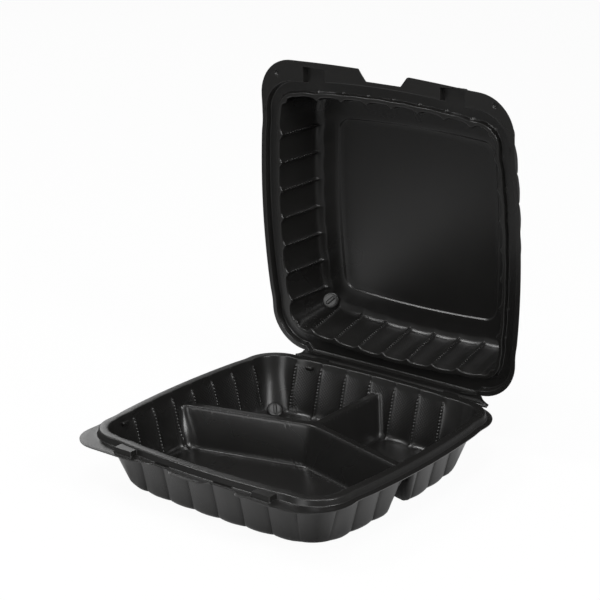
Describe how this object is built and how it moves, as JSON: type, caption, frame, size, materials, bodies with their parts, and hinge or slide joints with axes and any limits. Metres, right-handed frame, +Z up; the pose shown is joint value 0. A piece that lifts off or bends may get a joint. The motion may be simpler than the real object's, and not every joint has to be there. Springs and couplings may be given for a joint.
{
  "type": "plastic takeout container",
  "caption": "Square clamshell food container in black plastic: a fluted tray split by a Y-shaped divider and a fluted lid on a living hinge, with latch lugs and a lift tab.",
  "frame": {"origin": "on the table plane under the middle of the tray's rim, on the flat underside of the front compartment", "axes": "+X along the hinge, to the right seen from the front edge; +Y from the front edge to the hinge; +Z up"},
  "size_m": [0.2286, 0.2753, 0.2729],
  "materials": {
    "tray": "satin black polypropylene sheet",
    "lid": "satin black polypropylene sheet"
  },
  "bodies": {
    "tray": {"tray": "tray"},
    "lid": {"lid": "lid"}
  },
  "joints": [
    {"name": "lid_hinge", "type": "hinge", "parent": "tray", "child": "lid", "pos_m": [0, 0.11584, 0.03601], "axis": [1, 0, 0], "range_deg": [-70, 85.6]}
  ]
}
